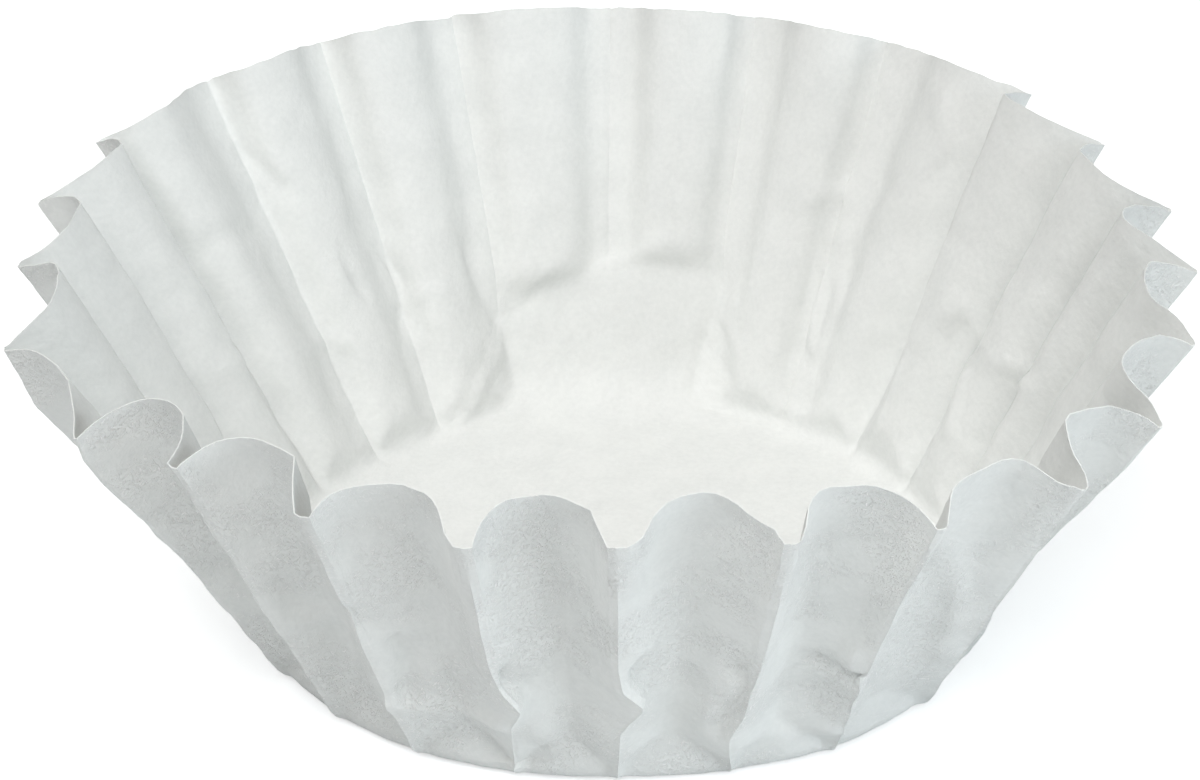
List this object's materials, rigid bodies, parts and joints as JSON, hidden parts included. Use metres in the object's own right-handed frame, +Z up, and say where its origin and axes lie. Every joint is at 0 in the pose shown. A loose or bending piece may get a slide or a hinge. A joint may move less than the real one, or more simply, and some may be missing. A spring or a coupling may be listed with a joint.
{
  "type": "paper coffee filter",
  "caption": "Flat-bottomed basket filter: one disc of paper pressed into a flat base and a fluted, flaring wall, standing with its mouth up.",
  "frame": {"origin": "centre of the flat base's underside, which stands on the surface", "axes": "+Z up through the mouth, -Y towards the front of the picture, +X to its right"},
  "size_m": [0.1727, 0.1704, 0.0634],
  "materials": {
    "paper": "matte uncoated filter paper"
  },
  "bodies": {
    "root": {"filter_paper": "paper"}
  },
  "joints": []
}
